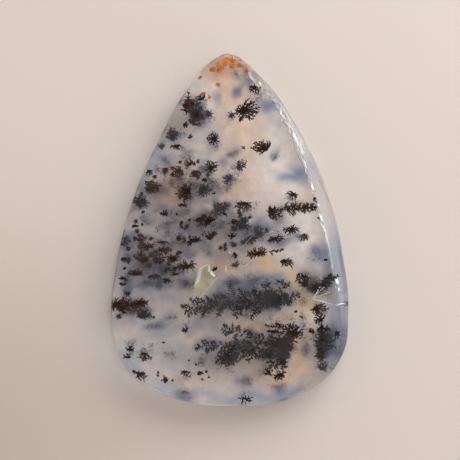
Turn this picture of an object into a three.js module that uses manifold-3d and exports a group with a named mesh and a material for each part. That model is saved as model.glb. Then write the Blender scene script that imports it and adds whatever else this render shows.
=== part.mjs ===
// Dendritic agate cabochon: a polished teardrop slab of see-through chalcedony, lying on its flat back.
// Millimetres, +Z up, +Y towards the tip. The origin is the middle of the outline's box, on the back.

import * as THREE from "three";
import { mergeVertices } from "three/addons/utils/BufferGeometryUtils.js";
import Module from "manifold-3d";

// Size of the stone
const LENGTH = 45;
const THICKNESS = 5.4;
const DOME_RISE = 0.55;
const BACK_CHAMFER = 0.4;
const WALL_LEAN = 0.15;

// The outline from above, clockwise from the tip: x, y and the width of the bevel inside it there
const OUTLINE = [
  [-0.2, 22.5, 0.45],
  [3.4, 20.1, 0.6],
  [8.3, 13.7, 1.05],
  [12.25, 5.5, 1.85],
  [14.65, -4.2, 1.8],
  [15.15, -10.6, 1.15],
  [14.2, -16.4, 0.95],
  [9.7, -20.8, 0.65],
  [1.2, -22.6, 0.5],
  [-7.8, -21.5, 0.45],
  [-13.1, -18.2, 0.35],
  [-15.2, -12.5, 0.32],
  [-15.0, -6.4, 0.32],
  [-12.9, 2.9, 0.35],
  [-9.1, 11.9, 0.45],
  [-5.0, 18.85, 0.5],
  [-1.9, 22.0, 0.45],
];

// The bevel has two facets: the outer one is steeper and takes this share of the width and of the drop
const OUTER_SHARE = 0.36;
const OUTER_DROP_SHARE = 0.52;
const BEVEL_SLOPE = 0.85; // drop of the whole bevel for its width

// Chips in the bevel of the right-hand side: place, radii along the edge, across it and down, and turn in degrees
const CHIPS = [
  { name: "tip flake", at: [3.05, 19.35, 4.95], radii: [0.95, 0.5, 0.32], turn: -50 },
  { name: "second flake", at: [4.15, 18.45, 4.9], radii: [0.7, 0.42, 0.26], turn: -58 },
  { name: "third flake", at: [5.0, 17.35, 4.85], radii: [0.55, 0.4, 0.22], turn: -54 },
  { name: "scallop", at: [6.9, 14.45, 4.9], radii: [0.55, 0.38, 0.28], turn: -57 },
  { name: "nick", at: [10.75, 5.35, 4.8], radii: [0.36, 0.3, 0.22], turn: -66 },
  { name: "rim bite", at: [14.75, -9.35, 3.85], radii: [0.34, 0.85, 0.5], turn: -86 },
];

// How finely the surface is divided
const STATIONS = 120;
const DOME_RINGS = [0.95, 0.82, 0.62, 0.36];
const CHIP_SEGMENTS = 14;

const TABLE_HEIGHT = THICKNESS - DOME_RISE;
const FLIP = new THREE.Vector3(0, 0, 1);

const wasm = await Module();
wasm.setup();

// The outline at its real size with its box centred on the origin; z still holds the bevel's width
function outlineStations() {
  const curve = new THREE.CatmullRomCurve3(
    OUTLINE.map(([x, y, bevel]) => new THREE.Vector3(x, y, bevel)),
    true,
    "centripetal",
  );
  curve.arcLengthDivisions = 2000;
  const points = curve.getSpacedPoints(STATIONS).slice(0, STATIONS);
  const box = new THREE.Box3().setFromPoints(points);
  const middle = box.getCenter(new THREE.Vector3()).setZ(0);
  const scale = LENGTH / (box.max.y - box.min.y);
  return points.map((point) => point.clone().sub(middle).multiply(new THREE.Vector3(scale, scale, 1)));
}

// Each station with the direction that points into the stone
function withInwards(points) {
  return points.map((point, i) => {
    const before = points[(i + points.length - 1) % points.length];
    const after = points[(i + 1) % points.length];
    const along = after.clone().sub(before).setZ(0).normalize();
    const inwards = along.clone().cross(FLIP).normalize();
    return { x: point.x, y: point.y, bevel: point.z, inwards };
  });
}

// One ring of the surface: every station moved in by its inset, at its height
function ring(stations, insetOf, heightOf) {
  return stations.map(
    (s) => new THREE.Vector3(s.x + s.inwards.x * insetOf(s), s.y + s.inwards.y * insetOf(s), heightOf(s)),
  );
}

// A ring of the low dome, shrunk from the table's edge towards the middle
function domeRing(tableEdge, fraction) {
  const height = TABLE_HEIGHT + DOME_RISE * (1 - fraction * fraction);
  return tableEdge.map((p) => new THREE.Vector3(p.x * fraction, p.y * fraction, height));
}

// A closed surface through rings that run clockwise from above, from the back up to the top
function loft(rings, bottom, top) {
  const count = rings[0].length;
  const positions = [bottom, ...rings.flat(), top].flatMap((p) => [p.x, p.y, p.z]);
  const index = [];
  const at = (level, i) => 1 + level * count + (i % count);
  const topIndex = 1 + rings.length * count;
  for (let i = 0; i < count; i++) {
    index.push(0, at(0, i), at(0, i + 1));
    for (let level = 0; level < rings.length - 1; level++) {
      index.push(at(level, i), at(level + 1, i), at(level + 1, i + 1));
      index.push(at(level, i), at(level + 1, i + 1), at(level, i + 1));
    }
    index.push(at(rings.length - 1, i + 1), at(rings.length - 1, i), topIndex);
  }
  const geometry = new THREE.BufferGeometry();
  geometry.setAttribute("position", new THREE.Float32BufferAttribute(positions, 3));
  geometry.setIndex(index);
  return geometry;
}

// The whole stone before it was chipped
function slabGeometry() {
  const stations = withInwards(outlineStations());
  const bevelDrop = (s) => s.bevel * BEVEL_SLOPE;
  const tableEdge = ring(stations, (s) => s.bevel, () => TABLE_HEIGHT);
  const rings = [
    ring(stations, () => BACK_CHAMFER, () => 0),
    ring(stations, () => 0, () => BACK_CHAMFER),
    ring(stations, () => WALL_LEAN, (s) => TABLE_HEIGHT - bevelDrop(s)),
    ring(
      stations,
      (s) => s.bevel * OUTER_SHARE + WALL_LEAN * (1 - OUTER_SHARE),
      (s) => TABLE_HEIGHT - bevelDrop(s) * (1 - OUTER_DROP_SHARE),
    ),
    tableEdge,
    ...DOME_RINGS.map((fraction) => domeRing(tableEdge, fraction)),
  ];
  return loft(rings, new THREE.Vector3(0, 0, 0), new THREE.Vector3(0, 0, THICKNESS));
}

// The lens-shaped hollow that one chip leaves
function chipGeometry({ at, radii, turn }) {
  const geometry = new THREE.SphereGeometry(1, CHIP_SEGMENTS, CHIP_SEGMENTS / 2);
  geometry.scale(...radii);
  geometry.rotateZ(THREE.MathUtils.degToRad(turn));
  geometry.translate(...at);
  geometry.deleteAttribute("normal");
  geometry.deleteAttribute("uv");
  return mergeVertices(geometry, 1e-4);
}

function toSolid(geometry) {
  return new wasm.Manifold(
    new wasm.Mesh({
      numProp: 3,
      vertProperties: geometry.attributes.position.array,
      triVerts: new Uint32Array(geometry.index.array),
    }),
  );
}

function toGeometry(solid) {
  const mesh = solid.getMesh();
  const geometry = new THREE.BufferGeometry();
  geometry.setAttribute("position", new THREE.BufferAttribute(mesh.vertProperties, 3));
  geometry.setIndex(new THREE.BufferAttribute(mesh.triVerts, 1));
  geometry.computeVertexNormals();
  return geometry;
}

function stoneGeometry() {
  const slab = toSolid(slabGeometry());
  const chipped = CHIPS.reduce((stone, chip) => stone.subtract(toSolid(chipGeometry(chip))), slab);
  return toGeometry(chipped);
}

const agate = new THREE.MeshStandardMaterial({
  color: 0xc3b4a6,
  roughness: 0.12,
  metalness: 0,
  flatShading: true,
});

const stone = new THREE.Mesh(stoneGeometry(), agate);
stone.name = "agate_cabochon";

const group = new THREE.Group();
group.name = "dendritic_agate";
group.add(stone);

export default group;
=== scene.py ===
import math
import random

import bmesh
import bpy
from mathutils import Matrix, Vector, noise
from mathutils.bvhtree import BVHTree


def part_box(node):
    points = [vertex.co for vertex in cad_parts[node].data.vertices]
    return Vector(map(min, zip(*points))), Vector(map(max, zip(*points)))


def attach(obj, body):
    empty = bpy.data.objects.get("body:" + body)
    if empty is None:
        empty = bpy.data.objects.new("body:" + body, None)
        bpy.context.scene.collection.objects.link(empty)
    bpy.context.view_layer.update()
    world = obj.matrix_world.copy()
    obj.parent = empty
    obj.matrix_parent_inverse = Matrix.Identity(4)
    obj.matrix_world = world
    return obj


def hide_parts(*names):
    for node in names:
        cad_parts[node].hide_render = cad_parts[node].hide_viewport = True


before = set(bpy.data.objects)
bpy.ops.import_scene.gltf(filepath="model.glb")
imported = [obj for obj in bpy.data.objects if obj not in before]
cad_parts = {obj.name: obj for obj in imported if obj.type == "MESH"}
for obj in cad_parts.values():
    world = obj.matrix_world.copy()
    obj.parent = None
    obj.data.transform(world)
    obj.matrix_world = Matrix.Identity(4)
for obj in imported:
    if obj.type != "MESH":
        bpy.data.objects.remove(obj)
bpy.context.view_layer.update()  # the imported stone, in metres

mm = 0.001
stoneNode = "agate_cabochon"
stoneLow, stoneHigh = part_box(stoneNode)
print("frame loaded, stone", [round(side / mm, 2) for side in stoneHigh - stoneLow], "mm")


# Spots of colour are ovals: x, y, half length, half breadth in mm, and a turn in degrees if there is one
ovalFade = (1.2, 0.05)  # from where to where a spot fades in, as shares of its size
warpReach = 3  # mm, the noise that moves the spots' edges runs from 0 to this


class Wire:  # a shader's socket that takes part in Python sums
    def __init__(self, finish, socket):
        self.finish = finish
        self.socket = socket

    def sum(self, operation, *values):
        return self.finish.node("ShaderNodeMath", {"operation": operation}, list(values))

    def __add__(self, other):
        return self.sum("ADD", self, other)

    def __radd__(self, other):
        return self.sum("ADD", other, self)

    def __mul__(self, other):
        return self.sum("MULTIPLY", self, other)

    def __rmul__(self, other):
        return self.sum("MULTIPLY", other, self)


class Finish:
    def __init__(self, name):
        self.material = bpy.data.materials.new(name)
        self.material.use_nodes = True
        self.tree = self.material.node_tree
        self.tree.nodes.clear()

    def node(self, kind, settings, values, output=0):
        made = self.tree.nodes.new(kind)
        for key, value in settings.items():
            setattr(made, key, value)
        pairs = values.items() if isinstance(values, dict) else enumerate(values)
        for key, value in pairs:
            if isinstance(value, Wire):
                self.tree.links.new(value.socket, made.inputs[key])
            else:
                made.inputs[key].default_value = value
        return Wire(self, made.outputs[output])

    def place(self):  # millimetres in the stone's own frame
        coordinates = self.node("ShaderNodeTexCoord", {}, {}, "Object")
        return self.node("ShaderNodeMapping", {}, {"Vector": coordinates, "Scale": (1 / mm,) * 3})

    def noise(self, place, scale, detail=2.0, roughness=0.5):
        inputs = {"Vector": place, "Scale": scale, "Detail": detail, "Roughness": roughness}
        return self.node("ShaderNodeTexNoise", {}, inputs)

    def attribute(self, name, output="Fac"):
        return self.node("ShaderNodeAttribute", {"attribute_name": name}, {}, output)

    def between(self, value, low, high, lowest=0.0, highest=1.0):  # an eased step
        inputs = {"Value": value, "From Min": low, "From Max": high, "To Min": lowest, "To Max": highest}
        return self.node("ShaderNodeMapRange", {"interpolation_type": "SMOOTHSTEP"}, inputs)

    def patches(self, place, scale, detail, low, high, roughness=0.5):  # 0 where the noise is under low
        return self.between(self.noise(place, scale, detail, roughness), low, high)

    def warped(self, place):  # pushed about a little, so that no spot keeps a plain oval's edge
        warp = self.node("ShaderNodeTexNoise", {}, {"Vector": place, "Scale": 0.35, "Detail": 3.0}, "Color")
        reach = (warpReach, warpReach, 0)
        return self.node("ShaderNodeVectorMath", {"operation": "MULTIPLY_ADD"}, [warp, reach, place])

    def farFrom(self, warped, x, y, along, across, turn=0):  # 1 on the oval's edge
        inputs = {
            "Vector": warped,
            "Location": (x + warpReach / 2, y + warpReach / 2, 0),
            "Rotation": (0, 0, math.radians(turn)),
            "Scale": (along, across, 1000),
        }
        local = self.node("ShaderNodeMapping", {"vector_type": "TEXTURE"}, inputs)
        return self.node("ShaderNodeVectorMath", {"operation": "LENGTH"}, [local], "Value")

    def spots(self, warped, ovals):  # 1 in the middle of each oval, fading to 0 at its edge
        nearest = self.farFrom(warped, *ovals[0])
        for oval in ovals[1:]:
            nearest = nearest.sum("MINIMUM", nearest, self.farFrom(warped, *oval))
        return self.between(nearest, *ovalFade)

    def blend(self, factor, first, second, way="MIX"):
        settings = {"data_type": "RGBA", "blend_type": way, "clamp_factor": True}
        colours = [(*c, 1) if isinstance(c, tuple) else c for c in (first, second)]
        return self.node("ShaderNodeMix", settings, {0: factor, 6: colours[0], 7: colours[1]}, 2)

    def surface(self, values, volume=None):
        shader = self.node("ShaderNodeBsdfPrincipled", {}, values)
        outputs = {"Surface": shader}
        if volume:
            outputs["Volume"] = self.node("ShaderNodeVolumeAbsorption", {}, volume)
        sink = self.tree.nodes.new("ShaderNodeOutputMaterial")
        for key, wire in outputs.items():
            self.tree.links.new(wire.socket, sink.inputs[key])
        return self.material


def pick(*things):
    bpy.ops.object.select_all(action="DESELECT")
    for thing in things:
        thing.select_set(True)
    bpy.context.view_layer.objects.active = things[0]


def selectVertices(thing, wanted):  # in edit mode, by a test on each vertex
    bpy.ops.mesh.select_all(action="DESELECT")
    mesh = bmesh.from_edit_mesh(thing.data)
    for vertex in mesh.verts:
        vertex.select = wanted(vertex)
    mesh.select_flush(True)
    bmesh.update_edit_mesh(thing.data)


def joinAs(name, parts):
    pick(*parts)
    bpy.ops.object.join()
    whole = bpy.context.object
    bpy.ops.object.transform_apply(location=True, rotation=True, scale=True)
    whole.name = name
    whole.data.name = name
    return whole


def applyModifier(thing, kind, **settings):
    pick(thing)
    modifier = thing.modifiers.new(kind.lower(), kind)
    for key, value in settings.items():
        setattr(modifier, key, value)
    bpy.ops.object.modifier_apply(modifier=modifier.name)


# The stone: a teardrop slab with a flat back, a bevel that is wide on the right, and a low dome
stoneShape = {
    "outline": [  # mm, clockwise from the tip: x, y, width of the bevel
        (-0.2, 22.5, 0.45), (3.4, 20.1, 0.6), (8.3, 13.7, 1.05), (12.25, 5.5, 1.85), (14.65, -4.2, 1.8),
        (15.15, -10.6, 1.15), (14.2, -16.4, 0.95), (9.7, -20.8, 0.65), (1.2, -22.6, 0.5),
        (-7.8, -21.5, 0.45), (-13.1, -18.2, 0.35), (-15.2, -12.5, 0.32), (-15.0, -6.4, 0.32),
        (-12.9, 2.9, 0.35), (-9.1, 11.9, 0.45), (-5.0, 18.85, 0.5), (-1.9, 22.0, 0.45),
    ],
    "domeRise": 0.55,
    "backChamfer": 0.4,
    "wallLean": 0.15,
    "bevelSlope": 0.85,
    "outerShare": 0.36,
    "outerDropShare": 0.52,
    "stepsBetweenPoints": 14,
    "domeRings": [0.985, 0.95, 0.9, 0.82, 0.72, 0.6, 0.46, 0.3, 0.14],
    "edgeRounding": 0.05,
    "smoothAngle": 20,
    "chipRoughness": 0.07,
    "chips": [  # mm: place, radii along the edge, across it and down, and turn in degrees
        ((3.05, 19.35, 4.95), (0.95, 0.5, 0.32), -50),
        ((4.15, 18.45, 4.9), (0.7, 0.42, 0.26), -58),
        ((5.0, 17.35, 4.85), (0.55, 0.4, 0.22), -54),
        ((6.9, 14.45, 4.9), (0.55, 0.38, 0.28), -57),
        ((10.75, 5.35, 4.8), (0.36, 0.3, 0.22), -66),
        ((14.75, -9.35, 3.85), (0.34, 0.85, 0.5), -86),
    ],
    "nicks": {  # small chips along the wide bevel's inner edge, bigger from roughFrom up to the tip
        "from": (1.0, -8.0),
        "every": (0.5, 1.3),
        "along": (0.3, 0.46),  # of the room that each has
        "across": (0.1, 0.22),
        "deep": (0.08, 0.18),
        "roughFrom": 11.5,
        "rougher": 1.7,
        "roughness": 0.12,
        "seed": 3,
    },
    "ground": {"fromX": 1.5, "fade": (-8.0, -1.0), "slope": (0.35, 0.978)},  # the hardly polished bevel
}


def inwardFrom(points, i):
    before = Vector(points[i - 1][:2])
    after = Vector(points[(i + 1) % len(points)][:2])
    along = (after - before).normalized()
    return Vector((along.y, -along.x))


def traceRing(shape, insetOf, heightOf):  # a closed curve through the outline's points, moved in and up
    bpy.ops.curve.primitive_bezier_circle_add(radius=10 * mm)
    curve = bpy.context.object
    curve.data.resolution_u = shape["stepsBetweenPoints"]
    knots = curve.data.splines[0].bezier_points
    points = shape["outline"]
    knots.add(len(points) - len(knots))
    for i, knot in enumerate(knots):
        x, y, bevel = points[i]
        inward = inwardFrom(points, i) * insetOf(bevel)
        knot.co = Vector((x + inward.x, y + inward.y, heightOf(bevel))) * mm
        knot.handle_left_type = "AUTO"
        knot.handle_right_type = "AUTO"
    bpy.ops.object.convert(target="MESH")
    return bpy.context.object


def bridgeRings(slab, count, rings):
    bpy.ops.object.mode_set(mode="EDIT")
    for level in range(rings - 1):
        selectVertices(slab, lambda v: level * count <= v.index < (level + 2) * count)
        bpy.ops.mesh.bridge_edge_loops()
    selectVertices(slab, lambda v: v.index < count)
    bpy.ops.mesh.edge_face_add()  # the flat back
    selectVertices(slab, lambda v: (rings - 1) * count <= v.index < rings * count)


def raiseRings(fractions, rise, extrude, centre):  # the selected edge, drawn in and up to a low dome
    size, height = 1.0, 0.0
    for fraction in fractions:
        shrink = fraction / size
        newHeight = rise * (1 - fraction**2)
        extrude()
        bpy.ops.transform.resize(value=(shrink, shrink, 1), center_override=centre)
        bpy.ops.transform.translate(value=(0, 0, (newHeight - height) * mm))
        size, height = fraction, newHeight


def faceOutwards():
    bpy.ops.mesh.select_all(action="SELECT")
    bpy.ops.mesh.normals_make_consistent(inside=False)
    bpy.ops.object.mode_set(mode="OBJECT")


def raiseDome(shape, table):
    raiseRings(shape["domeRings"], shape["domeRise"], bpy.ops.mesh.extrude_edges_move, (0, 0, table * mm))
    bpy.ops.mesh.merge(type="CENTER")
    faceOutwards()


def boxOf(thing):
    corners = [[side(v.co[k] for v in thing.data.vertices) for k in range(3)] for side in (min, max)]
    return Vector(corners[0]), Vector(corners[1])


def fitToFrame(slab):  # the outline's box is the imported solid's box
    low, high = boxOf(slab)
    slab.scale = [(stoneHigh - stoneLow)[k] / (high - low)[k] for k in range(3)]
    pick(slab)
    bpy.ops.object.transform_apply(scale=True)
    slab.location = stoneLow - boxOf(slab)[0]
    bpy.ops.object.transform_apply(location=True)


def addChip(subdivisions, roughness, seed, radii, matrix):  # a rough lump, to be cut away
    bpy.ops.mesh.primitive_ico_sphere_add(subdivisions=subdivisions, radius=mm)
    chip = bpy.context.object
    bpy.ops.object.mode_set(mode="EDIT")
    bpy.ops.transform.vertex_random(offset=roughness * mm, seed=seed)
    bpy.ops.transform.resize(value=radii)
    bpy.ops.object.mode_set(mode="OBJECT")
    chip.matrix_world = matrix
    return chip


def cutAway(slab, cutter):
    applyModifier(slab, "BOOLEAN", operation="DIFFERENCE", solver="EXACT", object=cutter)
    bpy.data.objects.remove(cutter)


def chipEdge(slab, shape):
    for seed, (place, radii, turn) in enumerate(shape["chips"]):
        matrix = Matrix.Translation(Vector(place) * mm) @ Matrix.Rotation(math.radians(turn), 4, "Z")
        cutAway(slab, addChip(3, shape["chipRoughness"], seed, radii, matrix))


def nickEdge(slab, shape, edge):
    draw = random.Random(shape["seed"])
    path = [point for point in edge if point.x > shape["from"][0] * mm and point.y > shape["from"][1] * mm]
    nicks = []
    gone = due = 0.0
    for before, point in zip(path, path[1:]):
        gone += (point - before).length / mm
        if gone < due:
            continue
        room = draw.uniform(*shape["every"])
        due = gone + room
        size = shape["rougher"] if point.y > shape["roughFrom"] * mm else 1
        radii = (
            room * draw.uniform(*shape["along"]),
            draw.uniform(*shape["across"]) * size,
            draw.uniform(*shape["deep"]) * size,
        )
        turn = math.atan2(point.y - before.y, point.x - before.x)
        matrix = Matrix.Translation(point) @ Matrix.Rotation(turn, 4, "Z")
        nicks.append(addChip(2, shape["roughness"], len(nicks), radii, matrix))
    cutAway(slab, joinAs("nicks", nicks))


def markGround(slab, shape):  # 1 on the ground bevel, 0 on what is polished
    ground = slab.data.attributes.new("ground", "FLOAT", "POINT")
    low, high = shape["slope"]
    start, full = shape["fade"]
    for face in slab.data.polygons:
        if low < face.normal.z < high and face.center.x / mm > shape["fromX"]:
            for corner in face.vertices:
                share = (slab.data.vertices[corner].co.y / mm - start) / (full - start)
                ground.data[corner].value = min(1, max(0, share))


def makeStone(shape):
    table = stoneHigh.z / mm - shape["domeRise"]
    drop = lambda bevel: bevel * shape["bevelSlope"]
    outer, outerDrop, lean = shape["outerShare"], shape["outerDropShare"], shape["wallLean"]
    levels = [
        (lambda bevel: shape["backChamfer"], lambda bevel: 0.0),
        (lambda bevel: 0.0, lambda bevel: shape["backChamfer"]),
        (lambda bevel: lean, lambda bevel: table - drop(bevel)),
        (
            lambda bevel: bevel * outer + lean * (1 - outer),
            lambda bevel: table - drop(bevel) * (1 - outerDrop),
        ),
        (lambda bevel: bevel, lambda bevel: table),
    ]
    rings = [traceRing(shape, insetOf, heightOf) for insetOf, heightOf in levels]
    count = len(rings[0].data.vertices)
    edge = [vertex.co.copy() for vertex in rings[-1].data.vertices]
    slab = joinAs("polished_stone", rings)
    bridgeRings(slab, count, len(rings))
    raiseDome(shape, table)
    fitToFrame(slab)
    rounding = {"width": shape["edgeRounding"] * mm, "segments": 2, "angle_limit": 0.2}
    applyModifier(slab, "BEVEL", limit_method="ANGLE", **rounding)
    chipEdge(slab, shape)
    nickEdge(slab, shape["nicks"], edge)
    markGround(slab, shape["ground"])
    pick(slab)
    bpy.ops.object.shade_smooth_by_angle(angle=math.radians(shape["smoothAngle"]))
    applyModifier(slab, "WEIGHTED_NORMAL", mode="FACE_AREA", weight=50, keep_sharp=True)
    return slab


polishedStone = makeStone(stoneShape)
stoneSurface = BVHTree.FromPolygons(
    [vertex.co.copy() for vertex in polishedStone.data.vertices],
    [list(face.vertices) for face in polishedStone.data.polygons],
)
print("stone modelled:", len(polishedStone.data.polygons), "faces")


# The dendrites: sprays of stubby branchlets, each a copy of one modelled stub
stubShape = {"sides": 4, "foot": 0.38, "belly": 0.52, "bellyAt": 0.7, "tip": 0.32, "flatness": 0.6}


class Pattern:  # a modelled shape, ready to be copied many times
    def __init__(self, thing):
        self.points = [vertex.co.copy() for vertex in thing.data.vertices]
        self.faces = [list(face.vertices) for face in thing.data.polygons]
        bpy.data.objects.remove(thing)


def makeStub(shape):  # from the origin to x = 1, widest past its middle, 1 across
    bpy.ops.mesh.primitive_cone_add(
        vertices=shape["sides"], radius1=shape["foot"], radius2=shape["belly"], depth=shape["bellyAt"],
        location=(shape["bellyAt"] / 2, 0, 0), end_fill_type="NGON", rotation=(0, math.radians(90), 0),
    )
    stub = bpy.context.object
    bpy.ops.object.transform_apply(location=True, rotation=True)
    bpy.ops.object.mode_set(mode="EDIT")
    bpy.ops.mesh.select_all(action="SELECT")
    bpy.ops.transform.rotate(value=math.radians(45), orient_axis="X", center_override=(0, 0, 0))
    selectVertices(stub, lambda v: v.co.x > shape["bellyAt"] / 2)
    bpy.ops.mesh.extrude_region_move(TRANSFORM_OT_translate={"value": (1 - shape["bellyAt"], 0, 0)})
    taper = shape["tip"] / shape["belly"]
    bpy.ops.transform.resize(value=(1, taper, taper), center_override=(1, 0, 0))
    bpy.ops.mesh.select_all(action="SELECT")
    bpy.ops.transform.resize(value=(1, 1, shape["flatness"]), center_override=(0, 0, 0))
    bpy.ops.object.mode_set(mode="OBJECT")
    return Pattern(stub)


grainForm = (1, 0.8, 0.7)  # flattened
puffShape = {"grains": 34, "grainSize": (0.09, 0.15), "spread": 0.26, "height": 0.2, "seed": 5}  # mm
deepPuffShape = {"grains": 15, "grainSize": (0.15, 0.24), "spread": 0.27, "height": 0.15, "seed": 6}


def makePuff(shape):  # a loose ball of grains, thinning out from its middle
    bpy.ops.mesh.primitive_uv_sphere_add(segments=4, ring_count=2, radius=0.5)
    grain = bpy.context.object
    draw = random.Random(shape["seed"])
    puff = bmesh.new()
    for i in range(shape["grains"]):
        before = len(puff.verts)
        puff.from_mesh(grain.data)
        puff.verts.ensure_lookup_table()
        size = draw.uniform(*shape["grainSize"])
        spot = [draw.gauss(0, shape[reach]) for reach in ("spread", "spread", "height")]
        turn = Matrix.Rotation(draw.uniform(0, math.tau), 4, "Z")
        form = Matrix.Diagonal((*[size * side for side in grainForm], 1))
        matrix = Matrix.Translation(spot) @ turn @ form
        bmesh.ops.transform(puff, matrix=matrix, verts=puff.verts[before:])
    puff.to_mesh(grain.data)
    puff.free()
    return Pattern(grain)


class Growth:  # all that grew in one layer of the stone, gathered in one mesh
    def __init__(self, name, stubWidth):
        self.name = name
        self.stubWidth = stubWidth
        self.points = []
        self.faces = []
        self.reach = []  # 0 at a dendrite's heart, 1 at its tips

    def add(self, pattern, matrix, reachFoot, reachTip):
        first = len(self.points)
        self.points += [matrix @ point for point in pattern.points]
        self.reach += [reachFoot + (reachTip - reachFoot) * point.x for point in pattern.points]
        self.faces += [[first + corner for corner in face] for face in pattern.faces]

    def asObject(self):
        data = bpy.data.meshes.new(self.name)
        data.from_pydata(self.points, [], self.faces)
        data.attributes.new("reach", "FLOAT", "POINT").data.foreach_set("value", self.reach)
        thing = bpy.data.objects.new(self.name, data)
        bpy.context.collection.objects.link(thing)
        return thing


growing = {
    "thickness": (0.85, 1.2),  # of the layer's stub width
    "wobble": 0.2,  # radians, up or down
    "armEvery": 0.5,  # mm of a rosette's rim
    "armReach": (0.34, 0.54),  # of a rosette's size
    "heartOff": 0.28,  # of its size, how far its heart lies off the middle
    "sideFrom": 0.15,  # of an arm's length
    "sideSpan": 0.77,
    "sideShare": 0.5,
    "sideLongest": 0.55,  # mm
    "sideEvery": 0.34,
    "sideLength": (0.7, 1.15),  # of the longest
    "sideTurn": (20, 46),  # degrees
    "frondEvery": 0.34,  # mm of the stem
    "frondLength": (0.45, 1.15),  # of half the breadth
    "frondTurn": (34, 72),
    "frondWaver": 0.3,  # radians
    "branchFrom": 0.45,  # mm, the shortest side branch with branchlets of its own
    "featherEvery": 0.3,
    "featherLength": (0.65, 1.2),
    "featherTurn": (34, 58),
    "puffs": 0.9,  # to a square mm
    "puffShift": 0.2,  # mm, up or down
}


class Spray:  # one dendrite, in its own flat frame in mm
    def __init__(self, layer, stub, frameMatrix, draw):
        self.layer = layer
        self.stub = stub
        self.matrix = frameMatrix
        self.draw = draw

    def grow(self, foot, turn, length, reachFoot, reachTip, thickness=1.0):
        width = self.layer.stubWidth * thickness * self.draw.uniform(*growing["thickness"])
        wobble = growing["wobble"]
        matrix = (
            self.matrix
            @ Matrix.Translation((*foot, 0))
            @ Matrix.Rotation(turn, 4, "Z")
            @ Matrix.Rotation(self.draw.uniform(-wobble, wobble), 4, "Y")
            @ Matrix.Diagonal((length, width, width, 1))
        )
        self.layer.add(self.stub, matrix, reachFoot, reachTip)

    def branch(self, foot, turn, length, reachFoot=0.1):  # a stub with smaller stubs to both sides
        self.grow(foot, turn, length, reachFoot, 1.0)
        count = round(length / growing["sideEvery"])
        longest = min(growing["sideLongest"], length * growing["sideShare"])
        first = self.draw.choice((0, 1))
        for i in range(count):
            share = growing["sideFrom"] + growing["sideSpan"] * (i + self.draw.uniform(0.2, 0.8)) / count
            side = 1 if (i + first) % 2 else -1
            way = turn + side * math.radians(self.draw.uniform(*growing["sideTurn"]))
            start = (foot[0] + math.cos(turn) * length * share, foot[1] + math.sin(turn) * length * share)
            stretch = longest * self.draw.uniform(*growing["sideLength"]) * (1.25 - 0.6 * share)
            self.grow(start, way, stretch, share * 0.8, 1.0, 0.8)

    def rosette(self, length, breadth):  # arms from a heart off the middle out to an oval
        rim = math.pi * (length + breadth) / 2
        count = max(7, round(rim / growing["armEvery"]))
        first = self.draw.uniform(0, math.tau)
        off = growing["heartOff"]
        heart = (length * self.draw.uniform(-off, off), breadth * self.draw.uniform(-off, off))
        for i in range(count):
            turn = first + math.tau * (i + self.draw.uniform(-0.3, 0.3)) / count
            out = self.draw.uniform(*growing["armReach"])
            x = length * out * math.cos(turn) - heart[0]
            y = breadth * out * math.sin(turn) - heart[1]
            self.branch(heart, math.atan2(y, x), math.hypot(x, y))
            self.grow(heart, math.atan2(y, x), math.hypot(x, y) * 0.4, 0.0, 0.2, 1.4)

    def frond(self, start, length, breadth):  # a wavering stem with branches that shorten towards its tip
        count = max(3, round(length / growing["frondEvery"]))
        step = length / count
        waver = growing["frondWaver"]
        x, y, heading = start, 0.0, 0.0
        for i in range(count):
            self.grow((x, y), heading, step * 1.5, 0.1, 0.3 + 0.6 * i / count)
            for side in (-1, 1):
                way = heading + side * math.radians(self.draw.uniform(*growing["frondTurn"]))
                longest = breadth / 2 * (1.25 - 0.75 * i / count)
                stretch = longest * self.draw.uniform(*growing["frondLength"])
                along = self.draw.uniform(0, step)
                foot = (x + along * math.cos(heading), y + along * math.sin(heading))
                if stretch > growing["branchFrom"]:
                    self.branch(foot, way, stretch, 0.3)
                else:
                    self.grow(foot, way, stretch, 0.4, 1.0)
            x += step * math.cos(heading)
            y += step * math.sin(heading)
            heading = self.draw.uniform(-waver, waver) - y / length

    def feather(self, length, breadth):  # a straight stem with plain barbs to both sides
        self.grow((0, 0), 0, length, 0.1, 0.9, 0.9)
        count = max(4, round(length / growing["featherEvery"]))
        for i in range(2 * count):
            side = -1 if i % 2 else 1
            share = 0.1 + 0.88 * (i / 2 + self.draw.uniform(0, 0.6)) / count
            longest = breadth / 2 * (1.25 - 0.8 * share)
            stretch = longest * self.draw.uniform(*growing["featherLength"])
            way = side * math.radians(self.draw.uniform(*growing["featherTurn"]))
            self.grow((share * length, 0), way, stretch, 0.3, 1.0, 0.75)

    def cloud(self, puff, length, breadth):  # too deep to make out
        shift = growing["puffShift"]
        for i in range(1 + round(growing["puffs"] * length * breadth)):
            x = self.draw.gauss(0, max(0.05, length / 4 - 0.1))
            y = self.draw.gauss(0, max(0.05, breadth / 4 - 0.1))
            turn = Matrix.Rotation(self.draw.uniform(0, math.tau), 4, "Z")
            matrix = self.matrix @ Matrix.Translation((x, y, self.draw.uniform(-shift, shift))) @ turn
            self.layer.add(puff, matrix, 0.5, 0.5)


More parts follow.
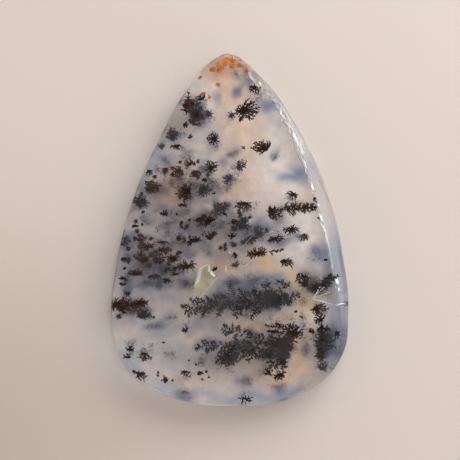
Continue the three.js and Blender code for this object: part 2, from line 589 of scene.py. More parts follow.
near, middle, far = 0.03, 0.8, 3.9  # mm below the polished face
planting = {
    "layers": {"dendrites_near": 0.25, "dendrites_middle": 0.9, "dendrites_lower": 2.2},  # down to, mm
    "widths": {  # of a stub, mm
        "dendrites_near": 0.2, "dendrites_middle": 0.19, "dendrites_lower": 0.19, "dendrites_deep": 0.2,
        "iron_stain": 0.32, "healed_cracks": 0.1, "bevel_lines": 0.1,
    },
    "inThePolish": ("dendrites_near", "iron_stain", "bevel_lines"),
    "rise": 0.006,  # mm, how far these stand out of the polish
    "sink": 0.04,  # mm, how far the others stay below it
    "tilt": 12,  # degrees, of what lies deeper than tiltFrom
    "tiltFrom": 0.3,
    "cloudedFrom": 3.0,  # mm deep, where no branches can be made out
    "frondFrom": 1.5,  # mm long, a shorter frond grows as a rosette
    "speckTurns": (0, 1.3, 2.4, 3.9, 5.1),  # radians
    "haloFrom": 0.9,  # mm long
    "haloShare": 0.6,
    "haloShift": 0.5,
    "haloStretch": (1.1, 1.5),
    "haloDepths": (2.3, 3.2),
    "plumeEvery": 0.28,  # mm of the stem
    "plumeReach": (0.4, 1.2),  # of the length given for its side
    "plumeTurn": (25, 72),
    "bushyFrom": 1.3,  # mm long, and of these this share is bushy
    "bushyShare": 0.4,
    "bushyBreadth": 0.8,  # of the length
    "featherBreadth": 0.7,
    "bushLength": (0.5, 1.0),  # of the longest
    "bushBreadth": (0.55, 0.9),  # of the length
}

# Where they lie, from above, in mm: x, y, length, breadth, turn in degrees, and depth if not near
inclusions = {
    "rosette": [
        (2.2, 15.1, 3.3, 2.8, 10), (3.9, 10.5, 3.1, 1.9, 5), (-9.8, 5.4, 2.5, 1.7, 5),
        (-11.4, 3.7, 2.5, 1.5, 170, middle), (-5.7, 4.7, 2.5, 2.3, 20), (-3.3, 5.0, 2.0, 1.8, 0, middle),
        (-3.1, 1.2, 2.2, 1.7, 10), (-1.3, 2.7, 2.7, 1.9, 20, middle), (5.6, 2.1, 2.3, 1.9, 160),
        (5.6, -1.2, 2.3, 1.1, 15), (3.4, -2.9, 3.1, 1.5, 10), (-8.3, -2.5, 2.2, 0.9),
        (-5.6, -4.5, 2.8, 1.3, 10), (-11.0, -10.7, 2.2, 1.3, 0, middle), (11.3, -10.0, 2.3, 1.8),
        (12.0, -14.2, 3.4, 3.0, 90, middle), (7.7, -12.8, 3.1, 2.5), (6.2, -18.4, 2.0, 1.4, 20),
        (-0.4, -16.3, 3.3, 2.3, 0, middle), (6.4, -14.9, 3.8, 3.6, 60, middle),
        (0.2, 14.6, 1.0, 0.9, 0, middle), (-3.6, 16.8, 1.3, 1.0, 30), (-2.7, 14.8, 1.3, 1.0, 0, middle),
        (-7.4, 12.1, 1.8, 1.8, 40, middle), (-6.8, 10.5, 1.5, 0.9), (-5.0, 11.8, 0.8, 0.6, 20),
        (-2.1, 11.6, 1.8, 1.7, 75), (1.4, 8.1, 1.5, 1.5, 0, middle), (-0.2, 6.4, 1.4, 1.3, 30, middle),
        (-2.4, 8.0, 1.8, 1.7, 50), (-6.6, 7.3, 1.8, 1.5, 15), (-4.4, 7.1, 1.7, 1.1, 0, middle),
        (-8.3, 2.1, 1.3, 0.8), (7.9, 4.4, 1.7, 1.1, 160), (1.6, 0.5, 1.8, 1.5, 10, middle),
        (0.3, -0.7, 1.4, 1.0), (3.6, -0.3, 1.5, 1.5, 0, middle), (2.7, -1.2, 2.0, 1.1, 15, middle),
        (0.7, -4.4, 1.3, 0.8, 0, middle), (-4.3, -1.2, 1.5, 0.9), (-13.2, -1.4, 1.1, 1.5, 0, middle),
        (-11.2, -1.1, 1.5, 0.8), (-11.4, -0.7, 1.0, 0.6, 0, middle), (-6.4, -2.8, 0.9, 0.6),
        (-13.4, -3.8, 1.0, 0.8), (-9.3, -4.1, 0.8, 0.6), (-7.4, -3.7, 1.7, 1.1, 10),
        (-10.3, -4.5, 1.0, 0.8, 0, middle), (-7.0, -5.5, 1.0, 0.6), (-9.7, -5.9, 1.8, 0.8, 0, middle),
        (-13.6, -6.1, 1.0, 0.6), (-8.0, -6.4, 1.3, 0.8), (-14.1, -10.9, 0.9, 0.8, 0, middle),
        (-5.7, -12.6, 1.0, 0.9), (-10.8, -16.0, 1.8, 1.5), (10.5, -7.4, 1.9, 1.3, 160, middle),
        (12.2, -6.8, 1.5, 1.5, 40, middle), (11.3, -11.3, 1.8, 1.4, 30), (10.3, -12.7, 0.9, 0.9),
        (11.7, -17.4, 1.5, 1.4, 0, middle), (0.9, 20.0, 1.3, 1.0, 0, far), (2.2, 19.3, 1.1, 1.0, 0, far),
        (-2.2, 10.7, 1.5, 1.1, 0, far), (6.1, 9.4, 1.0, 1.0, 0, far), (0.3, 9.9, 1.1, 1.0, 0, far),
        (-8.2, 9.0, 1.0, 1.0, 0, far), (-8.0, 0.8, 1.8, 0.5, 0, far), (-10.6, -6.7, 2.3, 0.8, 0, far),
        (-9.4, -7.2, 1.3, 0.8, 0, far), (-5.6, -6.8, 1.1, 1.0, 0, far), (-7.3, -11.3, 2.0, 1.0, 0, far),
        (-10.5, -12.6, 1.5, 1.1, 0, far), (-5.7, -21.0, 2.3, 1.1, 0, far), (6.7, -17.0, 2.5, 2.0, 0, far),
        (10.0, -15.8, 1.3, 1.4, 0, far), (2.1, -19.4, 2.0, 1.0, 0, far), (6.3, -20.3, 2.5, 1.5, 0, far),
        (9.4, -11.0, 1.1, 0.9, 0, far), (3.1, 17.8, 1.3, 1.5, 90), (-5.6, 13.3, 0.9, 1.0, 90),
        (-8.7, 10.6, 0.9, 0.9, 0, middle), (-5.2, 8.5, 1.1, 1.3, 90), (-10.2, 7.3, 0.9, 1.0, 90),
        (1.7, 3.0, 2.4, 1.5), (-12.6, -15.05, 1.3, 1.0, 10), (-13.0, -15.95, 1.1, 0.8),
        (-8.2, -18.9, 1.0, 1.0), (-3.8, -18.1, 0.9, 0.7), (-10.7, -2.0, 2.1, 0.9, 10),
        (-11.1, -3.5, 2.3, 1.4, 170), (-9.1, -3.5, 1.9, 1.4, 10, middle),
        (-7.2, -3.6, 1.5, 1.2, 0, middle), (-11.8, -5.4, 1.6, 1.0), (-13.1, -8.1, 1.0, 0.7, 0, middle),
        (-11.3, -9.2, 1.9, 1.2), (-14.0, -9.6, 2.2, 1.2), (-6.2, 9.4, 0.9, 0.8, 0, far),
        (-0.8, 5.0, 1.3, 1.5, 0, far), (-11.2, 1.3, 1.2, 0.8, 0, far), (-3.1, -2.8, 1.5, 1.0, 0, far),
        (-13.1, -5.2, 1.2, 0.9, 0, far), (-9.1, -6.8, 1.5, 1.2, 0, far), (1.7, 0.6, 2.0, 1.5, 0, middle),
        (7.7, 0.0, 2.0, 1.3, 10), (0.6, 1.0, 0.8, 0.9, 90), (7.1, -4.1, 1.9, 1.4),
        (-11.3, -18.4, 1.7, 1.3, -30), (-5.6, -18.1, 1.3, 1.0), (12.0, -12.4, 1.3, 1.0),
    ],
    "frond": [
        (5.6, -12.1, 2.2, 0.7, 170), (5.7, -12.9, 2.0, 0.7, 176), (-9.9, 5.6, 2.2, 1.6, -35),
        (-4.4, 15.0, 3.6, 2.0, 80, middle), (8.9, 2.7, 4.2, 1.9, 5), (-12.8, -9.5, 4.6, 2.0, 5),
        (7.5, -8.5, 2.8, 2.0, 15, middle), (1.4, 14.0, 0.9, 0.8, 250), (-5.3, 15.9, 2.8, 1.3, 80),
        (-3.2, 6.3, 1.1, 0.8), (-9.5, 6.7, 0.8, 0.6), (-6.0, 3.1, 1.3, 0.5), (10.7, 3.8, 0.8, 0.6, 110),
        (9.4, -0.9, 1.4, 1.1, 30, middle), (5.8, -2.6, 1.8, 0.8, 10), (12.1, -3.8, 0.6, 0.4),
        (-1.9, -4.9, 0.8, 0.6, 30), (-11.9, 0.5, 0.8, 0.4), (-8.5, -1.6, 1.4, 0.5),
        (-10.7, -2.0, 1.8, 0.5), (-12.1, -5.5, 1.8, 0.9), (-12.9, -8.0, 0.6, 0.5),
        (-12.1, -17.9, 0.6, 0.5, 150), (-3.8, -18.1, 0.8, 0.5), (3.2, -10.4, 1.8, 1.3, 240),
        (6.8, -6.7, 1.8, 1.0, 150), (2.7, -15.7, 1.8, 1.5, 250), (5.4, -12.8, 1.3, 0.5, 175),
        (6.1, -12.0, 1.1, 0.5, 165), (4.7, -17.9, 1.1, 1.0, 250), (9.2, -6.3, 1.9, 1.8, 130),
        (13.6, -13.2, 1.1, 0.9, 80), (8.3, -10.3, 0.5, 0.4), (13.0, -6.0, 1.7, 1.3, 20),
    ],
    "puff": [
        (-4.4, 15.4, 2.4, 3.2, 0, 1.0), (-4.1, 14.2, 2.2, 1.8, 0, 1.4), (-7.4, 12.1, 1.5, 1.5, 0, 1.1),
        (-5.8, 4.8, 2.0, 1.6, 0, 1.2), (-11.3, 3.6, 2.2, 1.3, 0, 1.1), (-1.2, 2.9, 2.6, 1.8, 0, 1.3),
        (-3.4, 5.0, 1.8, 1.5, 0, 1.3), (7.4, -3.9, 1.6, 1.0, 0, 1.2), (11.0, -7.6, 3.2, 1.4, 150, 1.3),
        (6.2, -9.0, 5.0, 2.6, 0, 1.0), (5.4, -9.2, 5.6, 2.4, 5, 1.5), (2.0, -9.0, 5.0, 2.2, 0, 1.3),
        (-1.0, -9.2, 4.6, 2.0, 5, 1.1), (-3.8, -9.9, 3.2, 1.4, 12, 1.2), (6.8, -14.8, 3.4, 3.2, 30, 0.9),
        (5.8, -15.4, 3.6, 3.4, 40, 1.4), (2.6, -14.6, 4.4, 1.6, 0, 1.1), (-0.4, -14.6, 4.4, 1.3, 0, 1.2),
        (-2.8, -14.8, 2.6, 1.0, 0, 1.0), (11.8, -14.2, 1.5, 3.4, 0, 1.0), (13.1, -14.2, 1.6, 3.4, 0, 2.6),
        (9.4, -6.8, 1.6, 1.4, 0, 0.8), (12.2, -6.6, 1.8, 1.6, 0, 0.9), (9.2, 2.7, 3.2, 1.0, 5, 0.8),
        (3.4, -13.4, 3.6, 1.2, -10, 1.2), (0.6, -12.8, 2.6, 1.0, -15, 1.3),
        (10.6, -6.0, 2.6, 1.4, 0, 1.4), (11.6, -7.4, 2.6, 1.6, 0, 1.6), (2.6, -7.6, 5.6, 1.6, 0, 2.6),
        (-1.2, -8.4, 3.0, 1.4, 15, 2.4), (11.2, -3.4, 2.2, 1.8, 0, 2.8),
    ],
    "speck": [
        (1.7, 10.4, 0.6, 0.6), (-2.0, 4.6, 0.5, 0.5), (-6.7, 2.0, 0.4, 0.4), (-5.1, 1.3, 0.5, 0.4),
        (11.2, 1.5, 0.4, 0.4), (-11.1, 0.7, 0.5, 0.4), (-5.1, -0.9, 0.6, 0.5), (-10.9, -3.4, 0.6, 0.5),
        (-11.7, -3.6, 0.5, 0.4), (-10.1, -3.3, 0.5, 0.4), (-12.8, -4.1, 0.5, 0.4),
        (-9.6, -11.0, 0.5, 0.4), (-8.4, -14.2, 0.4, 0.4), (-9.1, -18.0, 0.4, 0.4),
        (-9.1, -18.4, 0.4, 0.3), (-8.2, -18.9, 0.6, 0.5), (-7.3, -19.0, 0.4, 0.4),
        (-3.0, -17.9, 0.5, 0.4), (-2.7, -18.6, 0.4, 0.4), (-3.5, -18.9, 0.4, 0.4),
        (-5.2, -16.5, 0.3, 0.3), (-4.3, -17.0, 0.3, 0.3), (9.0, -11.0, 0.5, 0.4),
        (1.6, -21.4, 1.3, 0.9, 8), (2.1, -21.5, 1.4, 0.8, 20), (2.4, -21.3, 1.0, 0.8, 90),
    ],
}


# Ferns: the stem's points, the fronds' lengths on its left and right from end to end, the depths, and the
# share that lies in the polish
plumes = {
    "upper fern": (
        [(7.6, -8.7), (4.5, -8.8), (0.0, -8.8), (-3.0, -9.3), (-5.9, -10.0)],
        (1.5, 2.3, 2.2, 1.6, 1.1), (1.5, 2.0, 1.9, 1.3, 1.0), (0.3, 1.3), 0.35,
    ),
    "lower fern": (
        [(8.6, -14.2), (5.5, -14.8), (2.2, -14.5), (-1.0, -14.5), (-4.1, -14.8)],
        (1.7, 2.4, 1.6, 1.3, 0.9), (1.0, 0.9, 0.9, 1.1, 0.8), (0.3, 1.3), 0.35,
    ),
    "lower fern arm": (
        [(6.6, -14.4), (3.5, -13.7), (0.8, -12.9), (-0.9, -12.4)],
        (0.8, 1.0, 0.9), (1.2, 1.1, 0.8), (0.4, 1.4), 0.2,
    ),
    "lower fern lobe": (
        [(4.0, -15.2), (1.6, -15.8), (-1.6, -16.4)],
        (0.8, 1.0, 0.6), (0.8, 1.0, 0.6), (0.8, 1.5), 0.15,
    ),
    "lower fern root": (
        [(7.4, -13.8), (6.0, -16.2), (5.0, -18.3)],
        (1.6, 1.4, 0.8), (1.6, 1.8, 1.0), (0.3, 1.4), 0.4,
    ),
}

# Bushes that grew into each other: points, half width, how many, longest, depths, share in the polish
thickets = {
    "upper fern heart": ([(4.6, -9.4), (7.3, -8.8)], 0.9, 14, 1.3, (0.8, 1.5), 0.3),
    "lower fern heart": ([(4.5, -15.8), (7.6, -14.2)], 1.1, 8, 1.4, (0.8, 1.5), 0.3),
    "hazy fern": ([(7.2, -7.4), (4.4, -6.2), (1.6, -6.0), (-0.6, -7.2)], 0.5, 12, 1.4, (3.6, 4.1), 0.0),
    "ferns' haze": ([(-3.0, -10.0), (7.0, -9.0)], 1.0, 12, 2.2, (3.8, 4.1), 0.0),
    "lower fern's haze": ([(-1.0, -15.5), (7.0, -15.0)], 1.2, 12, 2.2, (3.8, 4.1), 0.0),
    "right mass": ([(11.9, -12.2), (11.6, -14.4), (11.6, -16.2)], 0.6, 13, 1.4, (0.1, 0.9), 0.6),
    "right haze": ([(12.6, -13.0), (12.6, -16.0)], 0.8, 10, 1.8, (3.7, 4.1), 0.0),
    "left band": ([(-14.2, -9.3), (-11.2, -9.3)], 0.5, 10, 1.2, (0.3, 1.0), 0.8),
    "left band haze": ([(-13.8, -10.4), (-9.8, -10.6)], 0.6, 10, 1.6, (3.7, 4.1), 0.0),
    "left grey": ([(-13.0, -3.0), (-9.0, -5.0), (-5.5, -6.5)], 2.0, 24, 1.5, (3.7, 4.1), 0.0),
    "left sprigs": ([(-12.8, -0.5), (-9.5, -3.5), (-6.5, -5.0)], 2.4, 30, 0.9, (0.03, 0.9), 0.5),
    "left edge sprigs": ([(-11.0, 5.0), (-12.8, -2.0), (-13.7, -8.0)], 0.6, 14, 0.9, (0.03, 0.9), 0.5),
    "middle grey": ([(-7.0, 1.0), (-1.0, 1.5), (4.0, 0.5)], 1.6, 20, 1.6, (3.7, 4.1), 0.0),
    "centre sprigs": ([(-8.0, -0.5), (-3.0, -1.0), (2.0, -2.5)], 1.3, 20, 1.3, (0.3, 1.2), 0.35),
    "right middle sprigs": ([(5.0, 2.0), (8.5, 3.0), (10.5, 2.4)], 0.5, 8, 1.3, (0.1, 0.8), 0.7),
    "right fern sprigs": ([(9.2, -6.4), (11.0, -7.4), (12.8, -5.8)], 0.5, 9, 1.5, (0.1, 0.9), 0.6),
    "middle sprigs": ([(-6.0, 1.5), (0.0, 1.0), (5.0, 0.5)], 1.8, 20, 1.2, (0.5, 1.4), 0.3),
    "upper left sprigs": ([(-9.5, 7.0), (-5.0, 8.5), (-2.5, 6.5)], 1.8, 20, 1.0, (0.5, 1.4), 0.3),
    "upper left grey": ([(-9.5, 6.0), (-4.0, 6.5), (0.0, 5.5)], 1.8, 16, 1.4, (3.7, 4.1), 0.0),
    "bush": ([(-5.0, 16.0), (-4.4, 14.0)], 0.6, 10, 1.7, (0.5, 1.3), 0.3),
    "bush haze": ([(-4.6, 15.4), (-3.4, 13.8)], 0.6, 6, 1.9, (3.6, 4.0), 0.0),
    "stone's foot": ([(-9.0, -13.0), (0.0, -19.0), (8.0, -19.0)], 1.6, 10, 1.8, (3.8, 4.2), 0.0),
}

stains = [  # iron at the tip: x, y, length, breadth, turn, depth
    (0.1, 21.3, 1.2, 1.3), (0.3, 20.7, 0.9, 0.9, 40), (-1.0, 20.9, 1.7, 1.2, 20, 0.15),
    (-2.2, 20.3, 1.2, 0.8, 30), (-1.5, 20.2, 1.0, 0.7, 80, 0.1), (1.2, 20.8, 0.9, 0.7, 0, 0.4),
    (2.1, 20.2, 0.5, 0.9), (-3.7, 19.3, 0.7, 0.3, 40), (-1.5, 18.4, 0.8, 0.6, 140),
    (-3.4, 17.2, 0.9, 0.5, 20), (-2.6, 16.8, 0.5, 0.4, 20), (-0.5, 21.6, 1.0, 0.6, 10, 0.3),
]

facets = [  # faces of the healed fracture: outline, depth, and how pale it is, partly its own pale filling and partly a painted glint off the fracture
    ([(-4.5, -7.0), (-3.8, -4.9), (-2.9, -4.4), (-2.3, -5.3), (-1.5, -5.9), (-4.1, -8.8), (-4.4, -8.2)],
     0.7, 0.0),
    ([(-4.55, -7.1), (-3.9, -4.95), (-3.4, -4.7), (-3.9, -6.6)], 0.6, 0.35),
    ([(-1.35, -5.75), (-1.6, -5.9), (-4.3, -9.0), (-4.05, -8.9)], 0.15, 0.4),
    ([(-2.4, -5.1), (-2.2, -5.3), (-1.8, -5.8), (-2.05, -5.9), (-2.5, -5.5)], 0.05, 0.9),
]
facetThickness = 0.06  # mm
crackThickest = 0.1

cracks = [  # healed cracks, paler than the stone, partly by their own pale filling and partly by a painted glint along them: from x, y, to x, y, width, depth, how pale
    (-2.64, -4.4, -2.64, -5.3, 0.22, 0.05, 1.0), (-3.8, -4.9, -2.8, -4.35, 0.16, 0.1, 0.8),
    (-0.5, -4.46, -0.5, -5.36, 0.2, 0.1, 0.9), (-0.13, -2.68, 0.0, -3.0, 0.2, 0.1, 0.9),
    (-0.06, -2.74, 1.08, -3.63, 0.08, 0.1, 0.5), (1.08, -3.63, 2.61, -4.78, 0.07, 0.1, 0.4),
    (2.61, -4.78, 3.3, -5.05, 0.05, 0.1, 0.3), (4.14, -5.61, 5.67, -6.5, 0.04, 0.1, 0.25),
    (11.48, -6.95, 10.52, -8.73, 0.13, 0.1, 0.6), (10.52, -8.73, 13.43, -9.5, 0.12, 0.1, 0.6),
    (13.43, -9.5, 14.6, -9.24, 0.2, 0.05, 0.9), (10.5, -8.6, 12.8, -7.8, 0.08, 0.2, 0.4),
    (10.8, -8.2, 12.3, -6.9, 0.08, 0.2, 0.4), (12.2, -0.2, 12.65, -3.1, 0.12, 0.02, 1.0),
    (12.65, -3.1, 13.0, -4.9, 0.1, 0.02, 0.9), (-4.14, -8.86, -8.2, -12.9, 0.05, 0.08, 0.5),
    (-3.9, -9.1, -6.6, -11.9, 0.04, 0.08, 0.5), (0.6, -3.0, 3.2, -0.4, 0.04, 0.08, 0.6),
]

bevelLines = [  # fine dark lines along the wide bevel: points, width
    ([(5.6, 16.9), (6.7, 15.1), (7.5, 13.62), (8.5, 11.92), (9.4, 10.14), (10.55, 7.85), (11.65, 5.7),
      (12.6, 3.6)], 0.14),
    ([(7.75, 13.7), (8.75, 12.0), (9.65, 10.2), (10.8, 7.9), (11.8, 5.9)], 0.09),
    ([(12.9, 2.4), (13.5, 0.0), (14.0, -2.6), (14.3, -5.2)], 0.06),
    ([(2.5, 20.2), (2.65, 19.0), (4.36, 18.0), (4.95, 16.9), (5.64, 15.85), (6.2, 14.8), (7.04, 13.2),
      (7.66, 13.0), (8.0, 11.2), (8.2, 10.1), (9.1, 8.4), (10.0, 5.9), (10.5, 4.45), (11.3, 2.5),
      (11.7, 0.8), (12.1, -1.2)], 0.06),
]


def faceAbove(x, y):
    place, normal = stoneSurface.ray_cast(Vector((x, y, 1)), Vector((0, 0, -1)))[:2]
    return (place, normal) if place else (Vector((x, y, stoneHigh.z)), Vector((0, 0, 1)))


def layerName(depth):
    for name, deepest in planting["layers"].items():
        if depth < deepest:
            return name
    return "dendrites_deep"


class Garden:  # grows everything in its place, this deep below the polished face
    def __init__(self, seed):
        self.draw = random.Random(seed)
        self.stub = makeStub(stubShape)
        self.puff = makePuff(puffShape)
        self.deepPuff = makePuff(deepPuffShape)
        self.layers = {name: Growth(name, width) for name, width in planting["widths"].items()}

    def frameAt(self, x, y, depth, turn):  # level with the polished face above it
        tilt = 0 if depth < planting["tiltFrom"] else planting["tilt"]
        place, normal = faceAbove(x * mm, y * mm)
        return (
            Matrix.Translation(place - normal * depth * mm)
            @ Vector((0, 0, 1)).rotation_difference(normal).to_matrix().to_4x4()
            @ Matrix.Rotation(math.radians(turn), 4, "Z")
            @ Matrix.Rotation(math.radians(self.draw.uniform(-tilt, tilt)), 4, "X")
            @ Matrix.Rotation(math.radians(self.draw.uniform(-tilt, tilt)), 4, "Y")
            @ Matrix.Scale(mm, 4)
        )

    def plant(self, form, x, y, length, breadth, turn=0, depth=near, layer=None):
        layer = self.layers[layer or layerName(depth)]
        matrix = self.frameAt(x, y, depth, turn)
        spray = Spray(layer, self.stub, matrix, self.draw)
        if form == "speck":
            for arm in planting["speckTurns"]:
                way = arm + self.draw.uniform(-0.5, 0.5)
                spray.grow((0, 0), way, length * self.draw.uniform(0.3, 0.6), 0.4, 1.0)
        elif form == "puff" or depth > planting["cloudedFrom"]:
            spray.cloud(self.deepPuff if layer.name == "dendrites_deep" else self.puff, length, breadth)
        elif form == "frond" and length > planting["frondFrom"]:
            spray.frond(-length / 2, length, breadth)
        else:
            spray.rosette(length, breadth)
            if layer.name in ("dendrites_middle", "dendrites_lower"):
                spray.cloud(self.puff, length, breadth)
            haloed = length > planting["haloFrom"] and layer.name.startswith("dendrites")
            if haloed and self.draw.random() < planting["haloShare"]:
                self.halo(x, y, length, breadth)

    def halo(self, x, y, length, breadth):  # more of the same dendrite, further down
        shift = planting["haloShift"]
        x += self.draw.uniform(-shift, shift)
        y += self.draw.uniform(-shift, shift)
        stretch = self.draw.uniform(*planting["haloStretch"])
        depth = self.draw.uniform(*planting["haloDepths"])
        self.plant("puff", x, y, length * stretch, breadth * stretch, 0, depth)

    def crack(self, x0, y0, x1, y1, width, depth, paleness):
        turn = math.degrees(math.atan2(y1 - y0, x1 - x0))
        size = Matrix.Diagonal((math.hypot(x1 - x0, y1 - y0), width, min(width, crackThickest), 1))
        matrix = self.frameAt(x0, y0, depth, turn) @ size
        self.layers["healed_cracks"].add(self.stub, matrix, paleness, paleness)

    def line(self, points, width):
        overlap = 1.05
        for (x0, y0), (x1, y1) in zip(points, points[1:]):
            start = faceAbove(x0 * mm, y0 * mm)[0]
            reach = faceAbove(x1 * mm, y1 * mm)[0] - start
            matrix = (
                Matrix.Translation(start)
                @ Vector((1, 0, 0)).rotation_difference(reach).to_matrix().to_4x4()
                @ Matrix.Diagonal((reach.length * overlap, width * mm, width * mm, 1))
            )
            self.layers["bevel_lines"].add(self.stub, matrix, 0.0, 1.0)

    def facet(self, outline, depth, paleness):
        layer = self.layers["healed_cracks"]
        height = faceAbove(outline[0][0] * mm, outline[0][1] * mm)[0].z - depth * mm
        first, count = len(layer.points), len(outline)
        for z in (height - facetThickness * mm, height):
            layer.points += [Vector((x * mm, y * mm, z)) for x, y in outline]
        layer.reach += [paleness] * 2 * count
        low = [first + i for i in range(count)]
        layer.faces += [low, [corner + count for corner in low]]
        layer.faces += [[low[i - 1], low[i], low[i] + count, low[i - 1] + count] for i in range(count)]

    def plume(self, stem, left, right, depths, nearShare):
        length = sum((Vector(a) - Vector(b)).length for a, b in zip(stem, stem[1:]))
        count = round(length / planting["plumeEvery"])
        step = 0.02  # of the stem, to tell which way it runs
        for i in range(count):
            share = (i + self.draw.random()) / count
            spot = pointOn(stem, share)
            ahead = pointOn(stem, min(1, share + step)) - pointOn(stem, max(0, share - step))
            heading = math.degrees(math.atan2(ahead.y, ahead.x))
            widths = left if i % 2 else right
            reach = pointOn([(w, 0) for w in widths], share).x * self.draw.uniform(*planting["plumeReach"])
            turn = heading + (1 if i % 2 else -1) * self.draw.uniform(*planting["plumeTurn"])
            depth = near if self.draw.random() < nearShare else self.draw.uniform(*depths)
            layer = self.layers[layerName(depth)]
            spray = Spray(layer, self.stub, self.frameAt(spot.x, spot.y, depth, turn), self.draw)
            if reach > planting["bushyFrom"] and self.draw.random() < planting["bushyShare"]:
                spray.frond(0, reach, reach * planting["bushyBreadth"])
            else:
                spray.feather(reach, reach * planting["featherBreadth"])

    def thicket(self, path, halfWidth, count, longest, depths, nearShare):
        for i in range(count):
            spot = pointOn(path, (i + self.draw.random()) / count)
            x = spot.x + self.draw.gauss(0, 0.5) * halfWidth
            y = spot.y + self.draw.gauss(0, 0.5) * halfWidth
            length = longest * self.draw.uniform(*planting["bushLength"])
            breadth = length * self.draw.uniform(*planting["bushBreadth"])
            form = self.draw.choice(("frond", "rosette", "rosette", "puff"))
            depth = near if self.draw.random() < nearShare else self.draw.uniform(*depths)
            self.plant(form, x, y, length, breadth, self.draw.uniform(0, 360), depth)


def pointOn(path, share):
    place = share * (len(path) - 1)
    i = min(int(place), len(path) - 2)
    return Vector(path[i]).lerp(Vector(path[i + 1]), place - i)


def makeDendrites():
    garden = Garden(7)
    for form, rows in inclusions.items():
        for row in rows:
            garden.plant(form, *row)
    for plume in plumes.values():
        garden.plume(*plume)
    for thicket in thickets.values():
        garden.thicket(*thicket)
    for row in stains:
        garden.plant("rosette", *row, layer="iron_stain")
    for row in cracks:
        garden.crack(*row)
    for row in facets:
        garden.facet(*row)
    for row in bevelLines:
        garden.line(*row)
    pieces = [layer.asObject() for layer in garden.layers.values()]
    pick(*pieces)
    bpy.ops.object.mode_set(mode="EDIT")
    faceOutwards()
    for piece in pieces:
        margin = -planting["rise"] if piece.name in planting["inThePolish"] else planting["sink"]
        keepInside(piece, margin * mm)
    return pieces


def keepInside(thing, margin):  # what would stick out is drawn back to this far under the polish
    for vertex in thing.data.vertices:
        place, normal = stoneSurface.find_nearest(vertex.co)[:2]
        if (vertex.co - place).dot(normal) > -margin:
            vertex.co = place - normal * margin
        vertex.co.z = min(vertex.co.z, stoneHigh.z)


# The milky chalcedony: a layer low in the stone, which the dendrites stand out against
milkShape = {"inset": 0.14, "low": 0.42, "high": 0.85, "rise": 0.35, "rings": 44, "sink": 0.12}  # mm


def makeMilk(shape):
    milk = traceRing(stoneShape, lambda bevel: shape["inset"], lambda bevel: shape["low"])
    milk.name = milk.data.name = "milky_layer"
    bpy.ops.object.mode_set(mode="EDIT")
    bpy.ops.mesh.select_all(action="SELECT")
    bpy.ops.mesh.edge_face_add()
    thickness = (shape["high"] - shape["low"]) * mm
    bpy.ops.mesh.extrude_region_move(TRANSFORM_OT_translate={"value": (0, 0, thickness)})
    fractions = [1 - ring / shape["rings"] for ring in range(1, shape["rings"])]
    raiseRings(fractions, shape["rise"], bpy.ops.mesh.extrude_region_move, (0, 0, 0))
    bpy.ops.mesh.poke()
    faceOutwards()
    keepInside(milk, shape["sink"] * mm)
    bpy.ops.object.shade_smooth()
    return milk


